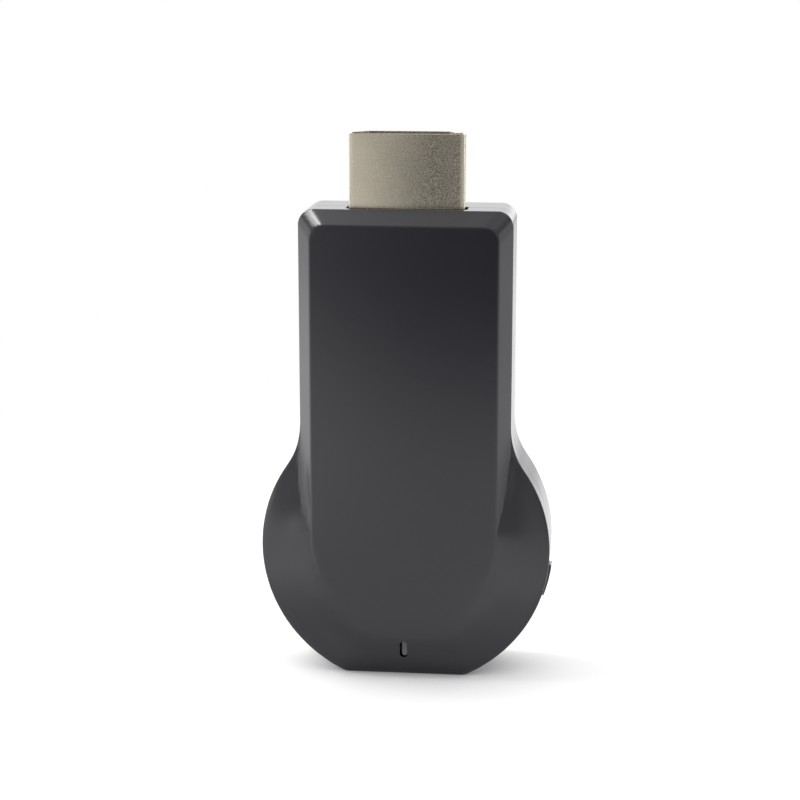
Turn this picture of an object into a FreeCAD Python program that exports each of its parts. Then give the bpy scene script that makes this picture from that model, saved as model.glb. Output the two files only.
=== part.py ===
"""Wireless display dongle: a two-part moulded housing round a circuit board, with a video plug
on top, a power inlet in the flat foot and a sprung button in the side.

Millimetres. +Z is up, X is to the right and the front faces -Y. The foot's flat lies at z = 0.
"""
import FreeCAD, Part
import math
import os

import Sketcher
from FreeCAD import Placement, Rotation, Vector

doc = FreeCAD.newDocument("display_dongle")


# Driving sizes: name, number, meaning

SIZES = [
    ("disc_radius", 17.8, "radius of the round lower part"),
    ("foot_cut", 1.6, "how much the foot's flat cuts off the round part"),
    ("stem_width", 25.8, "width of the straight upper part"),
    ("body_height", 58.0, "height of the housing without the plug"),
    ("neck_radius", 9.0, "hollow radius between stem and round part"),
    ("top_corner", 1.9, "corner radius of the stem's top, seen from the front"),
    ("foot_corner", 2.0, "corner radius at the ends of the foot's flat"),
    ("seam_y", -0.7, "depth position of the seam, which is the plug's middle plane"),
    ("rim_depth", 3.3, "seam to the front rim of the side wall"),
    ("front_depth", 5.3, "seam to the front face"),
    ("back_depth", 6.7, "seam to the back face"),
    ("wall", 1.3, "side wall"),
    ("front_wall", 1.2, "front wall behind the flares and the front face"),
    ("back_wall", 1.3, "back wall"),
    ("bevel_side", 1.6, "width of the bevel along the stem's sides"),
    ("bevel_top", 1.7, "width of the bevel along the stem's top"),
    ("face_corner", 1.9, "corner radius of the front face's top"),
    ("edge_rise", 1.8, "end of the front face's straight edges, above the disc's middle"),
    ("edge_radius", 20.0, "radius of the front face's edges below that height"),
    ("keel_corner", 4.0, "corner radius of the front face's lower end"),
    ("keel_height", 4.2, "height of the front face's lower end"),
    ("soft_edge", 1.6, "half the width of the soft edge between front face and flares"),
    ("flare_lean", 0.84, "height of a flare level's upper half, as a share of its half width"),
    ("flare_lean_fall", 0.45, "how much that share falls from the rim to the front face"),
    ("back_edge", 1.2, "bevel round the back face"),
    ("lip_height", 0.8, "how far the front cover's lip enters the back cover"),
    ("lip_width", 0.6, "thickness of the lip"),
    ("lip_gap", 0.08, "clearance round the lip"),
    ("well_inset", 0.7, "front cover's inner step, inside the side wall"),
    ("snap_length", 5.0, "snap ridges on the lip"),
    ("snap_proud", 0.2, "snap ridges beyond the lip"),
    ("snap_height", 0.3, "snap ridges, front to back"),
    ("snap_seam", 0.35, "seam to the snap ridges"),
    ("snap_gap", 0.05, "gap round the snap ridges"),
    ("snap_first", 12.0, "first snap ridge below the top"),
    ("snap_spacing", 11.0, "first snap ridge to second"),
    ("plug_width", 13.9, "plug shell, wide side"),
    ("plug_narrow", 9.9, "plug shell, narrow side"),
    ("plug_depth", 4.45, "plug shell, front to back"),
    ("plug_straight", 2.5, "straight part of the plug's sides"),
    ("plug_corner", 0.6, "outer corner radius of the plug"),
    ("plug_sheet", 0.3, "sheet of the plug shell"),
    ("plug_seam", 0.1, "groove where the plug shell's bent sheet meets"),
    ("plug_length", 8.9, "plug outside the housing"),
    ("plug_root", 3.3, "plug inside the housing"),
    ("plug_gap", 0.35, "gap round the plug in the housing"),
    ("plug_recess", 0.4, "insulator behind the plug's tip"),
    ("tongue_slot_width", 11.5, "slot for the socket's tongue"),
    ("tongue_slot_length", 7.0, "depth of that slot"),
    ("ear_length", 3.0, "solder ears of the plug shell"),
    ("ear_width", 2.6, "width of a solder ear"),
    ("contact_width", 0.35, "contact strip"),
    ("contact_sheet", 0.2, "sheet of the contact strips"),
    ("contact_pitch", 1.0, "spacing of the contacts in a row"),
    ("contact_tail", 2.4, "contact behind the insulator"),
    ("contact_recess", 1.2, "contact behind the insulator's front"),
    ("board_forward", 0.35, "board's middle plane in front of the seam"),
    ("board_sheet", 1.2, "thickness of the board"),
    ("board_gap", 0.3, "board edge to the side wall"),
    ("board_top_gap", 0.2, "board edge to the plug's insulator"),
    ("inlet_width", 7.5, "power inlet shell"),
    ("inlet_depth", 2.55, "power inlet shell, front to back"),
    ("inlet_length", 5.0, "power inlet shell, along the height"),
    ("inlet_sheet", 0.25, "sheet of the inlet shell"),
    ("inlet_recess", 0.5, "inlet behind the foot's flat"),
    ("inlet_gap", 0.35, "gap round the inlet in the housing"),
    ("inlet_corner", 0.7, "sloped corners of the inlet's narrow side"),
    ("tongue_width", 5.2, "inlet's inner tongue"),
    ("tongue_sheet", 0.65, "thickness of the inlet's tongue"),
    ("tongue_root", 1.0, "block that carries the tongue"),
    ("tongue_recess", 0.5, "tongue behind the inlet's mouth"),
    ("inlet_contact_width", 0.3, "contact of the inlet"),
    ("inlet_contact_pitch", 0.65, "spacing of the inlet's contacts"),
    ("inlet_contact_sheet", 0.12, "sheet of the inlet's contacts"),
    ("button_angle", 13.5, "button below the round part's middle, in degrees"),
    ("button_length", 4.1, "button along the side wall"),
    ("button_depth", 2.2, "button, front to back"),
    ("button_proud", 0.35, "button outside the side wall"),
    ("button_gap", 0.15, "gap round the button in the housing"),
    ("button_corner", 0.4, "corner rounding of the button"),
    ("flange_margin", 0.6, "button's inner flange beyond the cap"),
    ("flange_sheet", 0.65, "thickness of the flange"),
    ("flange_gap", 0.1, "flange to the side wall"),
    ("nub_length", 0.35, "nub that presses the plunger"),
    ("nub_width", 1.6, "width of that nub"),
    ("press_gap", 0.05, "nub to plunger, at rest"),
    ("travel", 0.25, "travel of the button and the plunger"),
    ("switch_width", 3.8, "switch body along the side wall"),
    ("switch_radial", 2.0, "switch body, towards the middle"),
    ("switch_depth", 1.4, "switch body, front to back"),
    ("switch_wall", 0.5, "walls of the switch body"),
    ("plunger_width", 1.4, "plunger stem"),
    ("plunger_proud", 1.15, "plunger outside the switch body"),
    ("plunger_flange", 0.35, "plunger flange in the switch"),
    ("plunger_gap", 0.05, "gap round the plunger"),
    ("dome_sheet", 0.1, "snap leaf of the switch"),
    ("frame_sheet", 0.2, "switch cover"),
    ("frame_reach", 1.4, "switch cover beyond the switch body"),
    ("pipe_width", 0.9, "light slot in the front"),
    ("pipe_height", 2.3, "light slot in the front, tall"),
    ("pipe_z", 3.65, "height of the light slot's middle"),
    ("pipe_reach", 4.2, "seam to the light pipe's outer end"),
    ("pipe_gap", 0.03, "gap round the light pipe"),
    ("pipe_flange", 0.35, "light pipe's flange, and how far it stands out"),
    ("pin_radius", 0.7, "locating pin of the front cover"),
    ("pin_length", 1.6, "locating pin beyond the board"),
    ("pin_gap", 0.05, "gap round the pin in its socket"),
    ("post_radius", 1.6, "posts that hold the board"),
    ("post_low_x", 12.0, "lower posts, from the middle"),
    ("post_low_rise", 3.8, "lower posts, above the disc's middle"),
    ("post_high_x", 9.2, "upper posts, from the middle"),
    ("post_high_drop", 7.0, "upper posts, below the board's top edge"),
    ("chip_size", 10.0, "processor, square"),
    ("chip_sheet", 1.1, "processor, thickness"),
    ("chip_rise", 13.8, "processor's middle above the disc's middle"),
    ("pad_sheet", 0.8, "thermal pad"),
    ("spreader_width", 18.0, "heat spreader"),
    ("spreader_height", 22.0, "heat spreader"),
    ("spreader_sheet", 1.0, "heat spreader"),
    ("rib_sheet", 1.0, "ribs that press the spreader"),
    ("rib_spacing", 6.0, "spacing of those ribs"),
    ("shield_width", 12.0, "radio can"),
    ("shield_height", 10.5, "radio can"),
    ("shield_depth", 1.7, "radio can"),
    ("shield_sheet", 0.2, "radio can, sheet"),
    ("shield_drop", 2.35, "radio can's middle below halfway from disc's middle to board top"),
    ("lead_length", 0.8, "leads of the small chips"),
    ("lead_width", 0.4, "leads of the small chips"),
    ("lead_sheet", 0.2, "leads of the small chips"),
    ("flash_pitch", 1.27, "spacing of the program memory's leads"),
    ("regulator_pitch", 0.95, "spacing of the regulator's leads"),
    ("inductor_foot", 0.5, "thickness of the inductor's foot"),
    ("inductor_step", 0.2, "inductor's core inside its foot"),
    ("front_capacitor_spacing", 3.0, "spacing of the capacitors on the board's front"),
    ("back_capacitor_spacing", 2.5, "spacing of the capacitors on the board's back"),
    ("resistor_spacing", 1.6, "spacing of the resistors"),
]

# Small parts low on the board: middle across, rise above the disc's middle, width, height,
# thickness
LOW_PARTS = {
    "regulator": (4.6, 4.3, 1.7, 2.9, 1.1),
    "power_inductor": (-4.5, 3.3, 4.0, 4.0, 1.9),
    "crystal": (-8.0, -2.2, 3.2, 2.5, 0.7),
    "chip_antenna": (8.3, -7.7, 5.2, 2.0, 0.9),
    "back_capacitor": (0, 0.3, 0.8, 1.6, 0.8),
    "back_resistor": (0, -4.2, 0.5, 1.0, 0.35),
}

# Small parts high on the board: the same, but with the drop below the board's top edge
HIGH_PARTS = {
    "memory_chip": (0, 8.0, 11.0, 7.5, 1.0),
    "flash_chip": (-4.6, 8.5, 4.0, 5.0, 1.6),
    "front_resistor": (4.6, 9.5, 0.5, 1.0, 0.35),
}

# Small parts between the two: the same, but with the drop below halfway from one to the other
MIDDLE_PARTS = {
    "wifi_chip": (0, 2.35, 6.0, 6.0, 0.9),
    "front_capacitor": (0, 9.35, 0.8, 1.6, 0.8),
}

# Small parts whose middle across is measured from the disc's left side
SIDE_PARTS = ("chip_antenna",)

# The lamp: width, height and thickness
LAMP = {"lamp_width": 0.8, "lamp_height": 1.6, "lamp_sheet": 0.6}

FIELDS = ("x", "z", "width", "height", "sheet")
for part_name, part_numbers in {**LOW_PARTS, **MIDDLE_PARTS, **HIGH_PARTS}.items():
    for field, number in zip(FIELDS, part_numbers):
        SIZES.append((f"{part_name}_{field}", float(number), f"{part_name}, {field}"))
for lamp_name, number in LAMP.items():
    SIZES.append((lamp_name, number, "lamp behind the light pipe"))


class Size:
    """A number together with the sheet formula that gives it."""

    def __init__(self, number, formula):
        self.number = number
        self.formula = formula

    def __add__(self, other):
        other = as_size(other)
        return Size(self.number + other.number, f"({self.formula} + {other.formula})")

    def __sub__(self, other):
        other = as_size(other)
        return Size(self.number - other.number, f"({self.formula} - {other.formula})")

    def __mul__(self, other):
        other = as_size(other)
        return Size(self.number * other.number, f"({self.formula} * {other.formula})")

    def __truediv__(self, other):
        other = as_size(other)
        return Size(self.number / other.number, f"({self.formula} / {other.formula})")

    def __neg__(self):
        return Size(-self.number, f"(-1 * {self.formula})")


def as_size(value):
    if isinstance(value, Size):
        return value
    return Size(float(value), f"({float(value)})")


class Sizes:
    """Each driving size of the sheet, by its name."""


def make_sheet():
    """Writes the driving sizes into the sheet and returns them by name."""
    sheet = doc.addObject("Spreadsheet::Sheet", "Sizes")
    for row, (name, number, meaning) in enumerate(SIZES, start=1):
        sheet.set(f"A{row}", name)
        sheet.set(f"B{row}", str(number))
        sheet.setAlias(f"B{row}", name)
        sheet.set(f"C{row}", meaning)
    doc.recompute()
    named = Sizes()
    for name, number, meaning in SIZES:
        setattr(named, name, Size(float(sheet.get(name)), f"Sizes.{name}"))
    return named


S = make_sheet()


# Places that several pieces share

stem_half = S.stem_width / 2
disc_z = S.disc_radius - S.foot_cut
edge_z = disc_z + S.edge_rise
rim_y = S.seam_y - S.rim_depth
face_y = S.seam_y - S.front_depth
back_y = S.seam_y + S.back_depth
shelf_y = rim_y + S.front_wall
well_y = face_y + S.front_wall
floor_y = back_y - S.back_wall
board_y = S.seam_y - S.board_forward
board_front = board_y - S.board_sheet / 2
board_back = board_y + S.board_sheet / 2
board_inset = S.wall + S.board_gap
plug_front = S.seam_y - S.plug_depth / 2
plug_tip = S.body_height + S.plug_length
plug_rear = S.body_height - S.plug_root
board_top = plug_rear - S.board_top_gap
chip_z = disc_z + S.chip_rise
halfway_z = (disc_z + board_top) / 2
shield_z = halfway_z - S.shield_drop
spreader_y = board_back + S.chip_sheet + S.pad_sheet
well_half = stem_half - S.wall - S.well_inset
POSTS = [
    (side, x, z, root)
    for side in (-1, 1)
    for x, z, root in (
        (S.post_low_x, disc_z + S.post_low_rise, shelf_y),
        (S.post_high_x, board_top - S.post_high_drop, well_y),
    )
]


# Small helpers for binding, bodies and sketches

def bind(thing, **properties):
    """Binds each named property to its formula; two underscores stand for a dot."""
    for name, size in properties.items():
        thing.setExpression(name.replace("__", "."), as_size(size).formula)


def new_body(label):
    body = doc.addObject("PartDesign::Body", label)
    body.Label = label
    return body


def origin_plane(body, role):
    return next(f for f in body.Origin.OriginFeatures if f.Role == role)


def new_sketch(body, name, role, offset):
    """An empty sketch on one of the body's own planes, moved along the plane's normal."""
    sketch = body.newObject("Sketcher::SketchObject", name)
    sketch.AttachmentSupport = [(origin_plane(body, role), "")]
    sketch.MapMode = "FlatFace"
    bind(sketch, AttachmentOffset__Base__z=offset)
    return sketch


def front_sketch(body, name, y):
    """A sketch that is seen from the front, at depth y; its normal points to the front."""
    return new_sketch(body, name, "XZ_Plane", -y)


def draw(sketch, edges, radii=()):
    """Adds a closed chain of edges, joins their ends and binds the named arcs' radii."""
    sketch.addGeometry(edges, False)
    last = len(edges)
    for index in range(last):
        sketch.addConstraint(
            Sketcher.Constraint("Coincident", index, 2, (index + 1) % last, 1)
        )
    for index, radius in radii:
        number = sketch.addConstraint(Sketcher.Constraint("Radius", index, radius.number))
        sketch.setExpression(f"Constraints[{number}]", radius.formula)


def line(start, end):
    return Part.LineSegment(Vector(*start, 0), Vector(*end, 0))


def arc(centre, radius, start, end):
    """Arc of a circle, anticlockwise from start to end, in radians."""
    circle = Part.Circle(Vector(*centre, 0), Vector(0, 0, 1), radius)
    return Part.ArcOfCircle(circle, start, end)


def pad(body, sketch, length, backward=False):
    feature = body.newObject("PartDesign::Pad", f"{sketch.Name}_pad")
    feature.Profile = sketch
    feature.Reversed = backward
    bind(feature, Length=length)
    return feature


def pocket(body, sketch, length, forward=False):
    feature = body.newObject("PartDesign::Pocket", f"{sketch.Name}_pocket")
    feature.Profile = sketch
    feature.Reversed = forward
    bind(feature, Length=length)
    return feature


def place(thing, x, y, z):
    bind(thing, Placement__Base__x=x, Placement__Base__y=y, Placement__Base__z=z)


def body_block(body, name, start, end, cut=False):
    """A block added to a body, or cut from it, between two opposite corners."""
    kind = "PartDesign::SubtractiveBox" if cut else "PartDesign::AdditiveBox"
    block = body.newObject(kind, name)
    start = [as_size(s) for s in start]
    end = [as_size(e) for e in end]
    bind(block, Length=end[0] - start[0], Width=end[1] - start[1], Height=end[2] - start[2])
    place(block, *start)
    return block


def body_post(body, name, centre, radius, start, end, cut=False):
    """A round post or hole along Y, from depth start to depth end."""
    kind = "PartDesign::SubtractiveCylinder" if cut else "PartDesign::AdditiveCylinder"
    post = body.newObject(kind, name)
    post.Placement = Placement(Vector(), Rotation(Vector(1, 0, 0), -90))
    bind(post, Radius=radius, Height=end - start)
    place(post, centre[0], start, centre[1])
    return post


def block(name, start, end):
    """A plain block between two opposite corners."""
    box = doc.addObject("Part::Box", name)
    box.Label = name
    start = [as_size(s) for s in start]
    end = [as_size(e) for e in end]
    bind(box, Length=end[0] - start[0], Width=end[1] - start[1], Height=end[2] - start[2])
    place(box, *start)
    return box


def centred(name, x, z, width, height, y_start, y_end):
    """A plain block seen from the front, by its middle, size and depths."""
    x, z, width, height = (as_size(v) for v in (x, z, width, height))
    return block(
        name,
        (x - width / 2, y_start, z - height / 2),
        (x + width / 2, y_end, z + height / 2),
    )


def joined(name, pieces):
    whole = doc.addObject("Part::MultiFuse", name)
    whole.Shapes = pieces
    whole.Label = name
    return whole


def without(name, base, tool):
    rest = doc.addObject("Part::Cut", name)
    rest.Base = base
    rest.Tool = tool
    rest.Label = name
    return rest


def group(name, pieces):
    """Like pieces that share one node as separate solids."""
    whole = doc.addObject("Part::Compound", name)
    whole.Links = pieces
    whole.Label = name
    return whole


def edges_where(shape, test):
    """Names of the edges whose vertices and middle all pass the test."""
    names = []
    for number, edge in enumerate(shape.Edges, start=1):
        middle = edge.valueAt((edge.FirstParameter + edge.LastParameter) / 2)
        points = [v.Point for v in edge.Vertexes] + [middle]
        if all(test(point) for point in points):
            names.append(f"Edge{number}")
    return names


def bevel_edges(body, name, feature, size, test):
    """Bevels the feature's edges that pass the test."""
    doc.recompute()
    bevel = body.newObject("PartDesign::Chamfer", name)
    bevel.Base = (feature, edges_where(feature.Shape, test))
    bind(bevel, Size=size)
    return bevel


# Outlines seen from the front

def outline(inset, top):
    """The housing's outline, drawn in by inset and closed at the height top.

    A stem with round corners runs down, by two hollow neck arcs, into a disc whose lower
    side is cut flat. Returns the edges, and the radius of each arc that has a named one.
    """
    disc = S.disc_radius - inset
    neck = S.neck_radius + inset
    half = stem_half.number - inset.number
    low = inset.number
    high = top.number
    middle = disc_z.number
    corner = max(S.top_corner.number - inset.number, 0.2)
    foot = max(S.foot_corner.number - inset.number, 0.2)
    neck_x = half + neck.number
    neck_z = middle + math.sqrt((disc.number + neck.number) ** 2 - neck_x**2)
    neck_turn = math.atan2(neck_z - middle, neck_x)
    foot_x = math.sqrt((disc.number - foot) ** 2 - (middle - low - foot) ** 2)
    foot_turn = math.atan2(low + foot - middle, foot_x)
    right_angle = math.pi / 2
    edges = [
        line((-foot_x, low), (foot_x, low)),
        arc((foot_x, low + foot), foot, -right_angle, foot_turn),
        arc((0, middle), disc.number, foot_turn, neck_turn),
        arc((neck_x, neck_z), neck.number, math.pi, math.pi + neck_turn),
        line((half, neck_z), (half, high - corner)),
        arc((half - corner, high - corner), corner, 0, right_angle),
        line((half - corner, high), (corner - half, high)),
        arc((corner - half, high - corner), corner, right_angle, math.pi),
        line((-half, high - corner), (-half, neck_z)),
        arc((-neck_x, neck_z), neck.number, -neck_turn, 0),
        arc((0, middle), disc.number, math.pi - neck_turn, math.pi - foot_turn),
        arc((-foot_x, low + foot), foot, math.pi - foot_turn, math.pi + right_angle),
    ]
    return edges, [(2, disc), (3, neck), (9, neck), (10, disc)]


def draw_outline(sketch, inset, top):
    """Draws the outline; the two neck arcs run against the chain, so their ends swap."""
    edges, radii = outline(as_size(inset), top)
    backward = (3, 9)
    sketch.addGeometry(edges, False)
    last = len(edges)
    for index in range(last):
        after = (index + 1) % last
        end = 1 if index in backward else 2
        start = 2 if after in backward else 1
        sketch.addConstraint(Sketcher.Constraint("Coincident", index, end, after, start))
    for index, radius in radii:
        number = sketch.addConstraint(Sketcher.Constraint("Radius", index, radius.number))
        sketch.setExpression(f"Constraints[{number}]", radius.formula)


def flare_level(step):
    """The disc's outline at one level of the flare: step 0 is the rim, and step 1 is where
    the flare would meet the front face without a soft edge.

    The side arcs, the foot's corners and the foot's line change evenly from the one to the
    other. The rim is half round above. The levels within it are lower there, so that the
    flare starts level at the neck and the stem's bevels run out on it slowly.
    """
    face_half = stem_half.number - S.bevel_side.number
    half = S.disc_radius.number + step * (face_half - S.disc_radius.number)
    side = S.disc_radius.number + step * (S.edge_radius.number - S.disc_radius.number)
    corner = S.foot_corner.number + step * (S.keel_corner.number - S.foot_corner.number)
    low = step * S.keel_height.number
    high = disc_z.number + step * S.edge_rise.number
    drop = high - low - corner
    corner_x = half - side + math.sqrt((side - corner) ** 2 - drop**2)
    turn = math.asin(drop / (side - corner))
    right_angle = math.pi / 2
    above = arc((0, high), half, 0, math.pi)
    if step > 0:
        tall = half * (S.flare_lean.number - step * S.flare_lean_fall.number)
        above = Part.ArcOfEllipse(Part.Ellipse(Vector(0, high, 0), half, tall), 0, math.pi)
    return [
        line((-corner_x, low), (corner_x, low)),
        arc((corner_x, low + corner), corner, -right_angle, -turn),
        arc((half - side, high), side, -turn, 0),
        above,
        arc((side - half, high), side, math.pi, math.pi + turn),
        arc((-corner_x, low + corner), corner, math.pi + turn, math.pi + right_angle),
    ]


def flare_steps():
    """Steps of the flare with their share of its rise: straight, then bent over to level."""
    width = S.disc_radius.number - stem_half.number + S.bevel_side.number
    soft = S.soft_edge.number / width
    steps = [(0, 0), ((1 - soft) / 2, (1 - soft) / 2), (1 - soft, 1 - soft)]
    for part in (1 / 3, 2 / 3, 1):
        step = 1 - soft + 2 * soft * part
        steps.append((step, 1 - soft + 2 * soft * part - soft * part**2))
    return steps


def stem_face(half, top, corner):
    """The stem's pad: round corners at the top, and a half round inside the disc below."""
    high = top.number
    side = half.number
    bend = corner.number
    low = edge_z.number
    right_angle = math.pi / 2
    edges = [
        arc((0, low), side, math.pi, 2 * math.pi),
        line((side, low), (side, high - bend)),
        arc((side - bend, high - bend), bend, 0, right_angle),
        line((side - bend, high), (bend - side, high)),
        arc((bend - side, high - bend), bend, right_angle, math.pi),
        line((-side, high - bend), (-side, low)),
    ]
    return edges, [(0, half), (2, corner), (4, corner)]


def loft(body, name, sketches, ruled):
    feature = body.newObject("PartDesign::AdditiveLoft", name)
    feature.Profile = sketches[0]
    feature.Sections = sketches[1:]
    feature.Ruled = ruled
    return feature


def stadium(half, tall, middle):
    """An upright slot shape with round ends."""
    side = half.number
    low = middle.number - tall.number + side
    high = middle.number + tall.number - side
    edges = [
        arc((0, low), side, math.pi, 2 * math.pi),
        line((side, low), (side, high)),
        arc((0, high), side, 0, math.pi),
        line((-side, high), (-side, low)),
    ]
    return edges, [(0, half), (2, half)]


# Places on the button's axis, which points out of the disc's middle

def on_button_axis(radial=0.0, depth=0.0, across=0.0):
    """A place on the button's axis: out from the disc's middle, in depth, and across."""
    turn = Placement(
        Vector(0, 0, disc_z.number), Rotation(Vector(0, 1, 0), S.button_angle.number)
    )
    return turn.multiply(Placement(Vector(radial, depth, across), Rotation()))


def axis_cut(body, name, start, end):
    """A cut along the button's axis, between two opposite corners (out, depth, across)."""
    tool = body.newObject("PartDesign::SubtractiveBox", name)
    start = [as_size(s) for s in start]
    end = [as_size(e) for e in end]
    bind(tool, Length=end[0] - start[0], Width=end[1] - start[1], Height=end[2] - start[2])
    tool.Placement = on_button_axis(start[0].number, start[1].number, start[2].number)
    return tool


def cut_button_slot(body):
    """The slot in the side wall that the button's cap passes through."""
    half_length = S.button_length / 2 + S.button_gap
    half_depth = S.button_depth / 2 + S.button_gap
    inside = S.disc_radius - S.wall - S.lip_width
    outside = S.disc_radius + S.button_proud
    axis_cut(
        body,
        f"{body.Name}_button_slot",
        (inside, board_y - half_depth, -half_length),
        (outside, board_y + half_depth, half_length),
    )


# The plug's outline, seen from above

def plug_outline(grow):
    """The plug's cross-section, grown by grow: a wide front side, and a narrow back side
    that its sloped corners lead to."""
    half = S.plug_width.number / 2 + grow
    narrow = S.plug_narrow.number / 2 + grow * math.tan(math.pi / 8)
    front = plug_front.number - grow
    back = plug_front.number + S.plug_depth.number + grow
    slope_start = plug_front.number + S.plug_straight.number + grow * math.tan(math.pi / 8)
    bend = max(S.plug_corner.number + grow, 0.15)
    right_angle = math.pi / 2
    return [
        arc((bend - half, front + bend), bend, math.pi, math.pi + right_angle),
        line((bend - half, front), (half - bend, front)),
        arc((half - bend, front + bend), bend, -right_angle, 0),
        line((half, front + bend), (half, slope_start)),
        line((half, slope_start), (narrow, back)),
        line((narrow, back), (-narrow, back)),
        line((-narrow, back), (-half, slope_start)),
        line((-half, slope_start), (-half, front + bend)),
    ]


def plug_sketch(body, name, z, grow):
    sketch = new_sketch(body, name, "XY_Plane", z)
    draw(sketch, plug_outline(as_size(grow).number))
    return sketch


def cut_plug_opening(body):
    """The opening in the end wall, with its gap all round the plug."""
    sketch = plug_sketch(body, f"{body.Name}_plug_opening", S.body_height, S.plug_gap)
    pocket(body, sketch, S.wall + S.well_inset)


# Housing

def make_front_shell():
    """Front cover: bevelled stem, flared disc, soft keel, seam lip and locating pins."""
    body = new_body("front_shell")
    side = front_sketch(body, "front_outline", S.seam_y)
    draw_outline(side, 0, S.body_height)
    pad(body, side, S.rim_depth)
    levels = []
    for number, (step, share) in enumerate(flare_steps()):
        level = front_sketch(body, f"flare_level_{number}", rim_y + (face_y - rim_y) * share)
        draw(level, flare_level(step))
        levels.append(level)
    loft(body, "flare", levels, ruled=False)
    lower = front_sketch(body, "stem_rim", rim_y)
    draw(lower, *stem_face(stem_half, S.body_height, S.top_corner))
    upper = front_sketch(body, "stem_face", face_y)
    draw(
        upper,
        *stem_face(stem_half - S.bevel_side, S.body_height - S.bevel_top, S.face_corner),
    )
    loft(body, "stem_pad", [lower, upper], ruled=True)
    hollow = front_sketch(body, "front_hollow", S.seam_y)
    draw_outline(hollow, S.wall, S.body_height - S.wall)
    pocket(body, hollow, S.seam_y - shelf_y, forward=True)
    well = front_sketch(body, "front_well", shelf_y)
    well_top = S.body_height - S.wall - S.well_inset
    draw(well, *stem_face(well_half, well_top, S.face_corner))
    pocket(body, well, shelf_y - well_y, forward=True)
    add_lip(body)
    add_snaps(body, cut=False)
    add_front_posts(body)
    cut_plug_opening(body)
    cut_button_slot(body)
    cut_light_slot(body)
    return body


def add_lip(body):
    """The seam lip, left open at the inlet."""
    outer = front_sketch(body, "lip_outside", S.seam_y)
    draw_outline(outer, S.wall - S.lip_width, S.body_height - S.wall + S.lip_width)
    pad(body, outer, S.lip_height, backward=True)
    inner = front_sketch(body, "lip_inside", S.seam_y + S.lip_height)
    draw_outline(inner, S.wall, S.body_height - S.wall)
    pocket(body, inner, S.lip_height, forward=True)
    half = S.inlet_width / 2 + S.inlet_gap
    body_block(
        body,
        "lip_inlet_gap",
        (-half, S.seam_y, 0),
        (half, S.seam_y + S.lip_height, S.wall),
        cut=True,
    )


def add_snaps(body, cut):
    """Snap ridges on the lip's straight sides, or the grooves that they click into."""
    gap = S.snap_gap if cut else as_size(0)
    inner = stem_half - S.wall + S.lip_width
    outer = inner + S.snap_proud + gap
    near = S.seam_y + S.snap_seam - gap
    far = near + S.snap_height + gap * 2
    for number in (0, 1):
        middle = S.body_height - S.snap_first - S.snap_spacing * number
        low = middle - S.snap_length / 2 - gap
        high = middle + S.snap_length / 2 + gap
        for side in (-1, 1):
            start, end = (inner, outer) if side > 0 else (-outer, -inner)
            body_block(
                body,
                f"snap_{'groove' if cut else 'ridge'}_{number}_{'right' if side > 0 else 'left'}",
                (start, near, low),
                (end, far, high),
                cut=cut,
            )


def add_front_posts(body):
    """Four posts carry the board's front, and their pins pass through it."""
    for number, (side, x, z, root) in enumerate(POSTS, start=1):
        body_post(body, f"front_post_{number}", (x * side, z), S.post_radius, root, board_front)
        body_post(
            body,
            f"front_pin_{number}",
            (x * side, z),
            S.pin_radius,
            board_front,
            board_back + S.pin_length,
        )


def cut_light_slot(body):
    """The slot low on the front that shows the lamp, with round ends."""
    sketch = front_sketch(body, "light_slot", shelf_y)
    draw(sketch, *stadium(S.pipe_width / 2, S.pipe_height / 2, S.pipe_z))
    pocket(body, sketch, shelf_y - face_y, forward=True)


def make_back_shell():
    """Back cover: flat back with a bevelled edge, sockets for the pins, and pressing ribs."""
    body = new_body("back_shell")
    side = front_sketch(body, "back_outline", S.seam_y)
    draw_outline(side, 0, S.body_height)
    slab = pad(body, side, S.back_depth, backward=True)
    depth = back_y.number
    bevel_edges(
        body, "back_bevel", slab, S.back_edge, lambda point: abs(point.y - depth) < 1e-4
    )
    hollow = front_sketch(body, "back_hollow", S.seam_y)
    draw_outline(hollow, S.wall, S.body_height - S.wall)
    pocket(body, hollow, floor_y - S.seam_y)
    rebate = front_sketch(body, "lip_rebate", S.seam_y)
    reach = S.lip_width + S.lip_gap
    draw_outline(rebate, S.wall - reach, S.body_height - S.wall + reach)
    pocket(body, rebate, S.lip_height + S.lip_gap)
    add_snaps(body, cut=True)
    for number, (side, x, z, root) in enumerate(POSTS, start=1):
        centre = (x * side, z)
        body_post(body, f"socket_{number}", centre, S.post_radius, board_back, floor_y)
        body_post(
            body,
            f"socket_hole_{number}",
            centre,
            S.pin_radius + S.pin_gap,
            board_back,
            board_back + S.pin_length + S.pin_gap,
            cut=True,
        )
    for number in (-1, 0, 1):
        middle = S.rib_spacing * number
        body_block(
            body,
            f"rib_{number + 2}",
            (middle - S.rib_sheet / 2, spreader_y + S.spreader_sheet, chip_z - S.chip_size),
            (middle + S.rib_sheet / 2, floor_y, chip_z + S.chip_size),
        )
    cut_plug_opening(body)
    cut_button_slot(body)
    half = S.inlet_width / 2 + S.inlet_gap
    body_block(
        body,
        "inlet_opening",
        (-half, S.seam_y, 0),
        (half, board_back + S.inlet_depth + S.inlet_gap, S.wall),
        cut=True,
    )
    return body


def make_light_pipe():
    """Clear bar in the light slot, held by a flange behind the front wall."""
    body = new_body("light_pipe")
    half = S.pipe_width / 2 - S.pipe_gap
    tall = S.pipe_height / 2 - S.pipe_gap
    bar = front_sketch(body, "light_bar", shelf_y)
    draw(bar, *stadium(half, tall, S.pipe_z))
    pad(body, bar, S.pipe_reach - (S.seam_y - shelf_y))
    flange = front_sketch(body, "light_flange", shelf_y)
    draw(flange, *stadium(half + S.pipe_flange, tall + S.pipe_flange, S.pipe_z))
    pad(body, flange, S.pipe_flange, backward=True)
    return body


# Plug

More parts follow.
